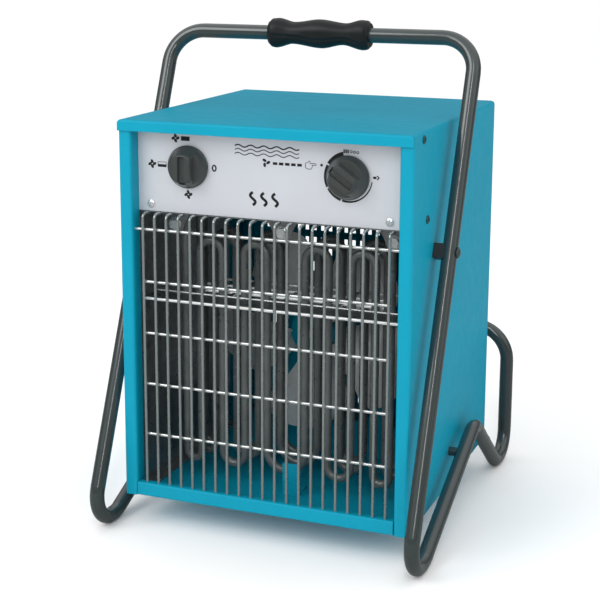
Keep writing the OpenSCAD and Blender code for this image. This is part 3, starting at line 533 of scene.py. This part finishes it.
def make_fan():
    """Five pitched blades of thin sheet, and a painted hub with a boss for the shaft."""
    shaft_low, shaft_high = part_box("motor_shaft")
    cz = (shaft_low[2] + shaft_high[2]) / 2
    root, tip, sheet = 0.022, 0.1115, 0.0007
    blades, n_r, n_c = 5, 16, 14
    chord = [(0, 46), (0.35, 54), (0.8, 57), (1, 44)]
    bm = bmesh.new()
    for b in range(blades):
        a0 = 2 * math.pi * (b + 0.5) / blades
        grid = {}
        for side in (0, 1):
            for i in range(n_r + 1):
                f = i / n_r
                width = math.radians(follow(chord, f))
                sweep = math.radians(10 * f * f)
                for k in range(n_c + 1):
                    c = k / n_c - 0.5
                    r = root + (tip - root) * f
                    if f > 0.8:
                        r -= 0.012 * (f - 0.8) / 0.2 * (abs(c) * 2) ** 3
                    a = a0 + c * width + sweep
                    pitch = c * (0.030 - 0.006 * f) + 0.004 * (1 - (2 * c) ** 2)
                    y = -pitch + (sheet if side else 0)
                    grid[side, i, k] = bm.verts.new((r * math.sin(a), y, cz + r * math.cos(a)))
        for i in range(n_r):
            for k in range(n_c):
                bm.faces.new([grid[0, i + p, k + q] for p, q in ((0, 0), (0, 1), (1, 1), (1, 0))])
                bm.faces.new([grid[1, i + p, k + q] for p, q in ((0, 0), (1, 0), (1, 1), (0, 1))])
        edge = [(i, 0) for i in range(n_r)] + [(n_r, k) for k in range(n_c)] \
            + [(i, n_c) for i in range(n_r, 0, -1)] + [(0, k) for k in range(n_c, 0, -1)]
        for p, q in zip(edge, edge[1:] + edge[:1]):
            bm.faces.new((grid[(0,) + p], grid[(0,) + q], grid[(1,) + q], grid[(1,) + p]))
    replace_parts(piece("fan_pressed", to_mesh("fan_pressed", bm), "fan_metal", "fan", angle=35), "fan_blades")

    profile = [(4.02, -15), (4.02, 13.6), (11, 13.6), (11, 6), (24, 5), (26, 3), (26, -8), (24.5, -10.5),
               (20, -12), (9.5, -12.6), (9, -15)]
    around = [2 * math.pi * k / 72 for k in range(72)]
    rings = [[(r * MM * math.cos(a), y * MM, cz + r * MM * math.sin(a)) for a in around] for r, y in profile]
    piece("fan_hub", rings_mesh("fan_hub", rings, closed=True), "casing_paint", "fan", angle=35)


make_fan()


# ---------------------------------------------------------------- stage, light and camera

def make_floor():
    """A wide matt sweep that looks darker in reflections, as one that stands far off would."""
    mesh = bpy.data.meshes.new("floor")
    s = 60.0
    mesh.from_pydata([(-s, -s, 0), (s, -s, 0), (s, s, 0), (-s, s, 0)], [], [(0, 1, 2, 3)])
    o = bpy.data.objects.new("floor", mesh)
    bpy.context.scene.collection.objects.link(o)
    m = surface("pale_floor", (253, 253, 253), 0.8, tint=0.004, grain=300, grain_height=0.00003, specular=0.2)
    tree = m.node_tree
    bsdf = next(n for n in tree.nodes if n.type == "BSDF_PRINCIPLED")
    path = tree.nodes.new("ShaderNodeLightPath")
    mix = tree.nodes.new("ShaderNodeMix")
    mix.data_type = "RGBA"
    mix.inputs[7].default_value = (0.25, 0.25, 0.25, 1)
    tree.links.new(path.outputs["Is Glossy Ray"], mix.inputs[0])
    tree.links.new(bsdf.inputs["Base Color"].links[0].from_socket, mix.inputs[6])
    tree.links.new(mix.outputs[2], bsdf.inputs["Base Color"])
    mesh.materials.append(m)


make_floor()


def area(name, place, target, size, power):
    """A soft box at a place, turned to a target."""
    light = bpy.data.lights.new(name, "AREA")
    light.shape = "RECTANGLE"
    light.size, light.size_y = size
    light.energy = power
    o = bpy.data.objects.new(name, light)
    bpy.context.scene.collection.objects.link(o)
    o.location = place
    o.rotation_mode = "QUATERNION"
    o.rotation_quaternion = (Vector(target) - Vector(place)).to_track_quat("-Z", "Y")


area("key", (-1.3, -1.9, 1.9), (0, 0, 0.25), (1.4, 1.4), 22)
area("strip", (0.76, -2.0, 1.48), (0.1, -0.1, 0.25), (0.08, 1.6), 9)
area("side_fill", (2.4, -0.2, 1.1), (0, 0, 0.25), (1.2, 1.6), 3)

# An even white studio; reflections see it bright overhead and dark along the horizon
world = bpy.data.worlds.new("studio")
bpy.context.scene.world = world
world.use_nodes = True
sky = world.node_tree
background = sky.nodes["Background"]
background.inputs[0].default_value = (1, 1, 1, 1)
split = sky.nodes.new("ShaderNodeSeparateXYZ")
sky.links.new(sky.nodes.new("ShaderNodeTexCoord").outputs["Generated"], split.inputs[0])
overhead = sky.nodes.new("ShaderNodeMapRange")
overhead.inputs["From Min"].default_value = 0.15
overhead.inputs["From Max"].default_value = 0.75
overhead.inputs["To Min"].default_value = 0.1
overhead.inputs["To Max"].default_value = 0.9
sky.links.new(split.outputs["Z"], overhead.inputs["Value"])
path = sky.nodes.new("ShaderNodeLightPath")
level = sky.nodes.new("ShaderNodeMapRange")
level.inputs["To Min"].default_value = 1.06
sky.links.new(path.outputs["Is Glossy Ray"], level.inputs["Value"])
sky.links.new(overhead.outputs[0], level.inputs["To Max"])
sky.links.new(level.outputs[0], background.inputs[1])
bpy.context.scene.view_settings.view_transform = "Standard"

yaw, pitch, roll = 0.37198, 0.20267, 0.00432
toward = Vector((-math.sin(yaw) * math.cos(pitch), math.cos(yaw) * math.cos(pitch), -math.sin(pitch)))
right = Vector((math.cos(yaw), math.sin(yaw), 0))
up = right.cross(toward)
right, up = right * math.cos(roll) + up * math.sin(roll), up * math.cos(roll) - right * math.sin(roll)
camera = bpy.data.objects.new("camera", bpy.data.cameras.new("camera"))
bpy.context.scene.collection.objects.link(camera)
camera.data.sensor_width = 36
camera.data.lens = 84.65
camera.data.shift_y = -0.12
camera.data.clip_start, camera.data.clip_end = 0.05, 200
camera.location = (0.50966, -1.35508, 0.58838)
camera.rotation_mode = "QUATERNION"
camera.rotation_quaternion = Matrix((right, up, -toward)).transposed().to_quaternion()
bpy.context.scene.camera = camera
